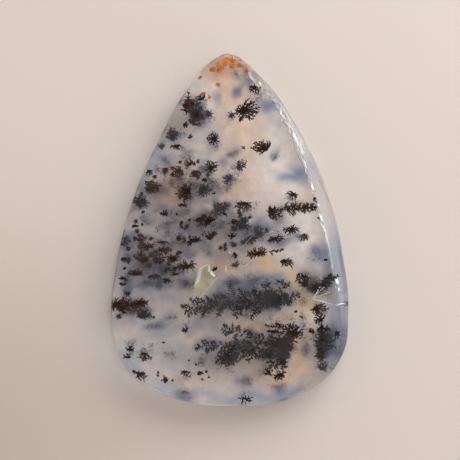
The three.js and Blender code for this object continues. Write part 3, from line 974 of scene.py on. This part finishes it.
milkTints = [  # colour, strength and ovals
    ((0.88, 0.45, 0.28), 0.85, [  # iron at the tip
        (-1.2, 20.4, 2.4, 1.5, 35), (0.4, 21.4, 1.6, 1.4), (1.6, 20.6, 1.2, 0.9, -40),
    ]),
    ((0.93, 0.68, 0.49), 0.9, [  # peach
        (1.5, 12.0, 4.4, 6.5), (1.5, 5.6, 6.0, 2.6, 10), (-0.6, -4.4, 3.4, 1.2), (0.0, 17.0, 3.5, 2.6),
        (-7.5, 5.5, 4.0, 3.5), (6.0, -19.0, 5.0, 2.0, 10), (-8.0, 1.5, 3.0, 1.6), (-10.0, -2.0, 2.6, 1.6),
    ]),
    ((1.0, 0.95, 0.88), 0.95, [  # the palest part, towards the upper right: partly clearer stone and partly painted light where the light falls
        (6.8, 11.0, 2.4, 6.5, 25), (10.4, 0.5, 1.8, 4.0, 15), (4.6, 6.2, 2.4, 2.2), (8.0, 4.8, 2.0, 1.4),
        (10.5, -2.2, 1.6, 1.2),
    ]),
    ((0.62, 0.67, 0.77), 0.75, [  # lilac at the lower left: partly the stone's own tint and partly painted shade on the side away from the light
        (-6.5, -16.2, 8.0, 3.2, -5), (-10.0, -12.0, 3.5, 2.0), (-2.0, -12.2, 3.0, 1.0),
    ]),
    ((1.0, 0.71, 0.44), 0.95, [  # gold round the ferns
        (4.4, -3.9, 3.6, 1.5, -32), (7.8, -6.4, 2.4, 1.5, -50), (9.3, -9.6, 1.4, 2.6),
        (7.0, -11.5, 2.8, 1.2, 26), (2.3, -12.4, 3.6, 1.0, 6), (9.0, -16.4, 1.5, 3.4, 10),
        (10.2, -13.2, 0.8, 2.0), (7.4, -19.4, 1.8, 0.9),
    ]),
    ((0.6, 0.61, 0.69), 0.95, [  # mauve
        (-12.0, -4.5, 3.6, 8.0, 8), (2.0, -21.3, 9.0, 1.2), (-4.0, -12.3, 5.0, 1.2),
        (-10.0, 8.5, 2.6, 6.0, -20), (-1.0, -6.8, 4.0, 1.4), (-7.0, 0.0, 7.0, 3.0),
        (13.5, -12.0, 3.0, 9.0, 5), (3.0, -0.2, 5.6, 2.0, 10), (-8.5, -8.5, 3.2, 1.6),
    ]),
    ((0.5, 0.58, 0.7), 0.8, [  # blue-grey along the foot
        (-12.4, -17.0, 1.4, 4.0, 42), (-8.0, -20.2, 5.0, 0.9, -20), (1.0, -21.6, 6.0, 0.8),
        (-9.0, -13.6, 2.4, 0.9), (7.4, -20.9, 3.6, 1.0, 18),
    ]),
    ((0.38, 0.35, 0.41), 0.6, [  # purple haze in the middle
        (-5.0, 0.4, 5.6, 2.0), (1.6, -0.4, 4.0, 1.4, -5), (-6.0, -2.6, 5.0, 1.6), (-10.5, -4.6, 3.6, 3.4),
        (-1.6, -3.2, 2.6, 1.2), (-3.0, -5.6, 3.0, 1.2), (-4.0, 4.4, 3.6, 1.8, 10), (-3.2, 7.6, 1.6, 1.6),
        (-10.0, 3.4, 2.6, 1.8), (1.8, -2.4, 3.0, 1.2, -20),
    ]),
    ((0.26, 0.32, 0.43), 0.9, [  # slate
        (15.2, -13.0, 1.0, 7.0, 3), (12.0, -3.6, 2.2, 2.2, 10), (5.2, -6.2, 3.6, 1.1, -24),
        (13.0, -14.6, 1.6, 3.0), (1.2, -6.3, 3.2, 1.0, 10), (-2.6, -14.6, 2.2, 1.0),
        (-3.6, -9.9, 2.4, 1.0, 10), (12.2, -4.6, 1.4, 1.6), (13.6, -3.4, 1.6, 5.0, 8),
    ]),
    ((0.2, 0.31, 0.52), 0.9, [  # strong blue
        (14.9, -10.8, 1.4, 4.4, 3), (14.2, -15.6, 0.9, 2.0, -16), (7.9, 6.9, 2.4, 1.1, 14),
        (8.9, 7.4, 1.3, 1.8, 20), (5.0, 15.9, 1.5, 1.7, 30), (-9.2, -6.9, 2.4, 0.9),
        (1.2, 17.4, 0.9, 0.9), (-13.6, -7.0, 1.2, 1.4),
    ]),
    ((0.17, 0.22, 0.36), 0.8, [  # blurred dendrites
        (2.0, -19.5, 1.4, 1.0), (6.4, -20.2, 1.6, 1.1), (-5.6, -21.0, 1.8, 0.9), (9.9, -15.6, 0.9, 1.0),
        (-8.8, -12.0, 1.6, 0.9), (-10.6, -6.9, 1.6, 0.8), (-13.4, -6.9, 1.2, 1.0), (11.2, -2.6, 1.5, 1.0),
        (-9.0, -4.5, 3.5, 1.3, 160), (1.7, 19.8, 0.9, 0.6, -40), (-9.5, 5.0, 2.0, 1.0, 10),
        (-12.6, 3.0, 1.2, 1.0), (6.2, -1.4, 2.6, 0.9, 10), (-5.5, -6.8, 1.6, 1.0), (1.1, 17.3, 0.9, 0.9),
        (-1.7, 16.8, 0.9, 1.2), (0.3, 9.9, 0.8, 0.7), (6.1, 9.4, 0.8, 0.9), (2.6, 18.6, 1.4, 0.8, -50),
        (-6.8, 11.9, 1.0, 0.9), (-2.4, 11.5, 1.0, 1.0), (-8.0, 9.2, 1.2, 1.2), (-5.4, 9.6, 1.0, 0.8),
        (-0.9, 8.6, 0.9, 0.8), (-10.6, 1.2, 1.4, 0.8), (-6.4, 2.6, 1.4, 0.9), (-2.4, 5.2, 1.6, 1.2),
        (-0.2, 3.0, 1.6, 1.1), (2.4, -7.5, 4.6, 1.3), (-1.5, -8.4, 2.8, 1.0, 15),
        (2.6, -13.4, 2.4, 0.6, -10), (1.4, -15.4, 2.0, 0.6, -6), (-12.6, -1.2, 1.0, 1.2),
        (-5.4, -3.0, 1.6, 0.8), (3.4, 0.6, 1.8, 1.0), (8.2, -0.8, 1.4, 0.9),
    ]),
    ((0.4, 0.5, 0.64), 0.75, [  # the lower right rim
        (12.6, -18.4, 3.2, 0.9, 50), (9.4, -20.6, 3.0, 0.8, 26), (14.6, -13.4, 0.8, 3.4, -8),
    ]),
    ((0.6, 0.47, 0.26), 0.8, [  # olive by the right-hand crack
        (10.7, -9.0, 2.0, 2.4), (12.4, -8.4, 1.6, 1.0),
    ]),
    ((0.16, 0.12, 0.09), 0.75, [  # brown haze about the right-hand dendrites
        (11.0, -6.6, 2.8, 1.9, -20), (12.6, -6.4, 1.2, 1.8), (9.4, 2.6, 2.6, 1.0, 5),
        (6.0, 1.8, 1.4, 1.0), (11.4, -10.4, 0.9, 1.4), (-12.6, -9.4, 2.4, 0.9, 5), (-7.0, -2.0, 2.4, 0.7),
        (-4.9, 16.0, 0.9, 1.8, 10),
    ]),
    ((0.045, 0.055, 0.09), 0.88, [  # the blurred bodies of the ferns and bushes
        (4.8, -9.1, 3.5, 1.5, 5), (0.0, -9.2, 3.6, 1.2, 8), (6.2, -15.3, 2.5, 2.0, 40),
        (1.6, -14.4, 3.4, 0.9), (-4.1, 15.2, 1.4, 2.0, 10), (12.6, -14.2, 1.5, 2.4, 5),
        (-12.6, -9.8, 2.4, 1.1, 5), (-9.0, 11.6, 1.2, 1.2), (-2.6, 2.0, 1.8, 1.0),
        (11.0, -7.2, 2.0, 0.9, -30), (-5.8, 4.8, 1.4, 1.0),
    ]),
    ((0.82, 0.88, 0.94), 0.8, [  # the clear rim on the left
        (-14.0, -2.0, 0.7, 7.0, 14), (-14.9, -11.5, 0.7, 5.0), (-13.0, -18.6, 3.0, 0.7, -45),
        (-9.0, 12.0, 0.6, 5.0, 28),
    ]),
]
mottledSpots = [  # where the milk is mottled with blurred dendrites
    (-9.5, 0.5, 6.5, 10.5, -8), (-3.0, 1.0, 7.0, 5.5, 10), (-12.0, -8.5, 3.4, 4.0),
    (3.5, -0.5, 5.5, 2.6, 10), (-5.0, 8.5, 3.5, 4.0),
]
milkBase = (0.93, 0.83, 0.75)


def farFrom(place, x, y, along, across, turn=0):  # 1 on the oval's edge
    cosine, sine = math.cos(math.radians(turn)), math.sin(math.radians(turn))
    dx, dy = place.x - x, place.y - y
    return math.hypot((dx * cosine + dy * sine) / along, (dy * cosine - dx * sine) / across)


def spotAt(place, ovals):  # 1 in the middle of an oval, fading to 0 at its edge
    edge, heart = ovalFade
    nearest = min(farFrom(place, *oval) for oval in ovals)
    inside = min(1, max(0, (edge - nearest) / (edge - heart)))
    return inside * inside * (3 - 2 * inside)


def tintMilk(milk):  # the milk's colours and where it is mottled, told to each point of the layer
    tints, mottles = [], []
    coarse, fine, fineShare = 0.35, 0.9, 0.4  # how the tints' edges wander, about a mm in all
    for vertex in milk.data.vertices:
        place = vertex.co / mm
        warp = noise.noise_vector(place * coarse) + noise.noise_vector(place * fine) * fineShare
        place = place + warp
        colour = Vector(milkBase)
        for shade, strength, ovals in milkTints:
            colour = colour.lerp(Vector(shade), strength * spotAt(place, ovals))
        tints += [*colour, 1]
        mottles.append(spotAt(place, mottledSpots))
    milk.data.attributes.new("tint", "FLOAT_COLOR", "POINT").data.foreach_set("color", tints)
    milk.data.attributes.new("mottled", "FLOAT", "POINT").data.foreach_set("value", mottles)


milkyLayer = makeMilk(milkShape)
tintMilk(milkyLayer)
dendrites = makeDendrites()
for piece in [milkyLayer, *dendrites]:
    print(piece.name, len(piece.data.polygons), "faces")


# Finishes
def milkFinish():
    finish = Finish("milky_chalcedony")
    place = finish.place()
    tint = finish.attribute("tint", "Color")
    cloud = finish.patches(place, 0.4, 4, 0.3, 0.7, 0.6)
    depth = finish.patches(place, 0.9, 3, 0.3, 0.7, 0.6)
    flattened = finish.node("ShaderNodeMapping", {}, {"Vector": place, "Scale": (0.75, 1.15, 1)})
    blurred = finish.patches(flattened, 0.62, 2, 0.5, 0.68, 0.6) * finish.attribute("mottled")
    clouded = finish.blend(cloud, (0.94, 0.92, 0.91), (1.0, 1.0, 1.0))
    shaded = finish.blend(depth, (0.59, 0.575, 0.59), (0.76, 0.71, 0.68))
    colour = finish.blend(1.0, tint, clouded, "MULTIPLY")
    colour = finish.blend(blurred * 0.75, colour, (0.2, 0.23, 0.3))
    colour = finish.blend(1.0, colour, shaded, "MULTIPLY")
    return finish.surface({"Base Color": colour, "Roughness": 0.7 + 0.2 * cloud, "Specular IOR Level": 0.2})


def agateFinish():
    finish = Finish("polished_agate")
    place = finish.place()
    cloud = finish.patches(place, 0.12, 3, 0.35, 0.65)
    ground = finish.attribute("ground")
    drawnOut = {"Vector": place, "Rotation": (0, 0, math.radians(14)), "Scale": (9, 0.7, 1)}
    along = finish.node("ShaderNodeMapping", {}, drawnOut)
    streaks = finish.patches(along, 1.0, 3, 0.3, 0.7, 0.6)
    pits = finish.patches(place, 5.0, 2, 0.45, 0.7)
    towardsTip = finish.node("ShaderNodeSeparateXYZ", {}, [place], "Y")
    polish = 0.42 + ground * finish.between(towardsTip, -3.0, 3.0, -0.39, 0.58)
    relief = {"Strength": ground, "Distance": 0.02 * mm, "Height": streaks + 0.7 * pits}
    scratches = finish.node("ShaderNodeBump", {}, relief)
    return finish.surface(
        {
            "Base Color": finish.blend(cloud, (1.0, 0.96, 0.93), (0.96, 0.97, 1.0)),
            "Roughness": 0.27 + ground * (0.06 + 0.22 * streaks),
            "IOR": 1.54,
            "Specular Tint": (0.25, 0.25, 0.27, 1),
            "Transmission Weight": 0.975,
            "Coat Weight": polish,
            "Coat Roughness": 0.03,
            "Coat IOR": 1.62,
            "Normal": scratches,
        },
        {"Color": (1.0, 0.86, 0.7, 1), "Density": 5.0},
    )


def lineFinish():
    finish = Finish("bevel_lines")
    # dark strips along the wide bevel's facet edges, darker and lighter in patches
    patchiness = finish.patches(finish.place(), 1.6, 2, 0.35, 0.65)
    colour = finish.blend(patchiness, (0.03, 0.035, 0.045), (0.14, 0.14, 0.16))
    return finish.surface({"Base Color": colour, "Roughness": 0.5 + 0.2 * patchiness})


rustSpots = [  # where the dendrites' tips turned to rust
    (-12.0, -9.2, 4.0, 1.8), (11.3, -9.8, 2.6, 3.2), (6.5, -18.2, 3.0, 2.2), (-10.5, -2.6, 5.5, 3.6),
    (-7.0, 9.0, 4.5, 5.0), (-6.5, 4.8, 5.5, 2.6), (3.9, 9.6, 2.4, 1.6), (-8.5, -17.5, 6.5, 3.0),
    (4.5, -2.6, 4.0, 1.6), (-4.5, -10.0, 2.6, 1.4), (9.0, 3.0, 4.0, 2.6), (-4.8, 16.8, 1.8, 2.0),
    (8.5, -14.0, 2.5, 1.8), (2.0, 3.0, 3.0, 2.0),
]
brownSpots = [  # where they are brown all through
    (-8.0, -17.3, 7.5, 3.2), (-11.0, -2.8, 4.5, 3.4), (-7.5, 8.0, 4.0, 3.0), (-9.5, 5.0, 2.6, 2.0),
    (3.6, -0.8, 2.0, 1.6), (7.0, -7.0, 1.8, 1.2), (-5.7, -12.6, 1.4, 1.4),
]
blueSpots = [
    (6.5, -9.8, 3.6, 2.6, 20), (12.8, -15.0, 2.0, 2.6), (0.5, -10.0, 3.0, 1.4), (-11.5, 3.5, 2.4, 1.6),
]


def dendriteFinish(name, cores, brown, rust, blue):
    finish = Finish(name)
    place = finish.place()
    warped = finish.warped(place)
    reach = finish.attribute("reach")
    patch = finish.patches(place, 0.9, 2, 0.34, 0.58)
    fringed = finish.between(reach, 0.2, 1.0) * patch * (0.25 + 0.6 * finish.spots(warped, rustSpots))
    colour = finish.blend(finish.patches(place, 0.35, 2, 0.35, 0.65), *cores)
    colour = finish.blend(finish.spots(warped, blueSpots) * 0.8, colour, blue)
    grain = finish.patches(place, 2.4, 3, 0.36, 0.6)
    browned = finish.spots(warped, brownSpots) * (0.35 + 0.65 * patch) * (0.3 + 0.7 * grain)
    colour = finish.blend(browned * finish.between(reach, 0.0, 0.5, 0.5, 1.0), colour, brown)
    colour = finish.blend(fringed, colour, rust)
    return finish.surface(
        {
            "Base Color": colour,
            "Roughness": 0.6 + 0.2 * finish.noise(place, 6.0),
            "Specular IOR Level": 0.06,
        }
    )


def stainFinish():
    finish = Finish("iron_stain")
    place = finish.place()
    reach = finish.attribute("reach")
    patch = finish.patches(place, 1.2, 3, 0.35, 0.65)
    colour = finish.blend(patch, (0.6, 0.2, 0.008), (0.3, 0.085, 0.02))
    colour = finish.blend(reach * 0.4, colour, (0.6, 0.27, 0.1))
    return finish.surface({"Base Color": colour, "Roughness": 0.5 + 0.2 * patch, "Specular IOR Level": 0.2})


def crackFinish():
    finish = Finish("healed_cracks")
    place = finish.place()
    paleness = finish.attribute("reach")
    grain = finish.patches(place, 2.5, 3, 0.3, 0.7)
    patch = finish.patches(place, 0.8, 2, 0.4, 0.6)
    colour = finish.blend(patch, (0.48, 0.42, 0.29), (0.34, 0.29, 0.19))
    # the pale share is partly the cracks' own pale filling and partly a painted glint
    colour = finish.blend(paleness, colour, (0.95, 0.92, 0.86))
    colour = finish.blend(grain * 0.15, colour, (0.4, 0.36, 0.3))
    return finish.surface({"Base Color": colour, "Roughness": 0.4 + 0.3 * grain, "Specular IOR Level": 0.3})


finishes = {
    "polished_stone": agateFinish(),
    "milky_layer": milkFinish(),
    "dendrites_near": dendriteFinish(
        "manganese_black", ((0.01, 0.006, 0.004), (0.02, 0.01, 0.007)),
        (0.064, 0.04, 0.034), (0.092, 0.038, 0.021), (0.006, 0.008, 0.016),
    ),
    "dendrites_middle": dendriteFinish(
        "manganese_slate", ((0.008, 0.006, 0.008), (0.024, 0.023, 0.033)),
        (0.07, 0.046, 0.042), (0.07, 0.032, 0.022), (0.006, 0.009, 0.022),
    ),
    "dendrites_lower": dendriteFinish(
        "manganese_grey", ((0.01, 0.009, 0.012), (0.026, 0.027, 0.04)),
        (0.07, 0.046, 0.042), (0.07, 0.032, 0.022), (0.008, 0.012, 0.028),
    ),
    "dendrites_deep": dendriteFinish(
        "manganese_haze", ((0.09, 0.115, 0.17), (0.13, 0.15, 0.2)),
        (0.14, 0.12, 0.13), (0.12, 0.13, 0.17), (0.07, 0.1, 0.17),
    ),
    "iron_stain": stainFinish(),
    "healed_cracks": crackFinish(),
    "bevel_lines": lineFinish(),
}
for piece in [polishedStone, milkyLayer, *dendrites]:
    piece.data.materials.clear()
    piece.data.materials.append(finishes[piece.name])
    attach(piece, "root")
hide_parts(stoneNode)
print("finishes set")


# A pale floor with a painted shadow at its lower left, a soft key light from the upper right, a strip that
# the bevel mirrors, and a pale sky
studio = {
    "floor": 4.0,
    "floorGap": 0.00002,  # so that the glassy back and the floor are two surfaces
    "paintedShadow": (-34, -28, 30, 34, 10),  # a painted shadow: the floor is painted darker here, at the lower left
    "fieldHeight": 57.95,  # mm, what the picture spans at the height of the polished face
    "lens": 100,
    "sensor": 36,
    "clipStart": 0.001,
    "key": {"place": (0.14, 0.18, 0.16), "size": (0.3, 0.3), "power": 0.78, "colour": (1, 0.99, 0.97)},
    "strip": {"place": (0.3, 0.12, 0.16), "size": (0.2, 0.08), "power": 3.6, "colour": (0.78, 0.9, 1)},
    "sky": (1.0, 0.86, 0.77),
    "skyStrength": 0.68,
    "zenith": [(0.86, 1.0), (0.96, 0.1)],  # the sky darkens overhead, where the camera is
}


def softbox(name, place, size, power, colour):  # aimed at the stone
    bpy.ops.object.light_add(type="AREA", location=place)
    lamp = bpy.context.object
    lamp.name = name
    lamp.data.shape = "RECTANGLE"
    lamp.data.size, lamp.data.size_y = size
    lamp.data.energy = power
    lamp.data.color = colour
    lamp.rotation_euler = (-lamp.location).to_track_quat("-Z", "Y").to_euler()
    return lamp


def floorFinish(paintedShadow):
    finish = Finish("pale_floor")
    place = finish.place()
    warped = finish.warped(place)
    mottle = finish.patches(place, 0.02, 3, 0.35, 0.65)
    colour = finish.blend(mottle, (0.695, 0.65, 0.62), (0.71, 0.665, 0.635))
    # painted shadow: the floor is darker and warmer inside this soft oval at the lower left
    colour = finish.blend(finish.spots(warped, [paintedShadow]), colour, (0.56, 0.5, 0.465))
    return finish.surface({"Base Color": colour, "Roughness": 0.8, "Specular IOR Level": 0.2})


def makeStudio(settings):
    bpy.ops.mesh.primitive_plane_add(size=settings["floor"], location=(0, 0, -settings["floorGap"]))
    floor = bpy.context.object
    floor.name = "floor"
    floor.data.materials.append(floorFinish(settings["paintedShadow"]))
    softbox("key", **settings["key"])
    strip = softbox("strip", **settings["strip"])
    strip.visible_diffuse = False
    strip.visible_transmission = False
    world = bpy.data.worlds.new("pale_sky")
    world.use_nodes = True
    background = world.node_tree.nodes["Background"]
    background.inputs["Strength"].default_value = settings["skyStrength"]
    direction = world.node_tree.nodes.new("ShaderNodeTexCoord")
    up = world.node_tree.nodes.new("ShaderNodeSeparateXYZ")
    world.node_tree.links.new(direction.outputs["Generated"], up.inputs["Vector"])
    ramp = world.node_tree.nodes.new("ShaderNodeValToRGB")
    ramp.color_ramp.interpolation = "EASE"
    for stop, (position, shade) in zip(ramp.color_ramp.elements, settings["zenith"]):
        stop.position = position
        stop.color = (*[channel * shade for channel in settings["sky"]], 1)
    world.node_tree.links.new(up.outputs["Z"], ramp.inputs["Fac"])
    world.node_tree.links.new(ramp.outputs["Color"], background.inputs["Color"])
    bpy.context.scene.world = world
    bpy.context.scene.view_settings.view_transform = "Standard"
    height = settings["fieldHeight"] * mm * settings["lens"] / settings["sensor"] + stoneHigh.z
    bpy.ops.object.camera_add(location=(0, 0, height), rotation=(0, 0, 0))
    camera = bpy.context.object
    camera.data.lens = settings["lens"]
    camera.data.sensor_width = settings["sensor"]
    camera.data.clip_start = settings["clipStart"]
    bpy.context.scene.camera = camera


makeStudio(studio)
print("studio set")
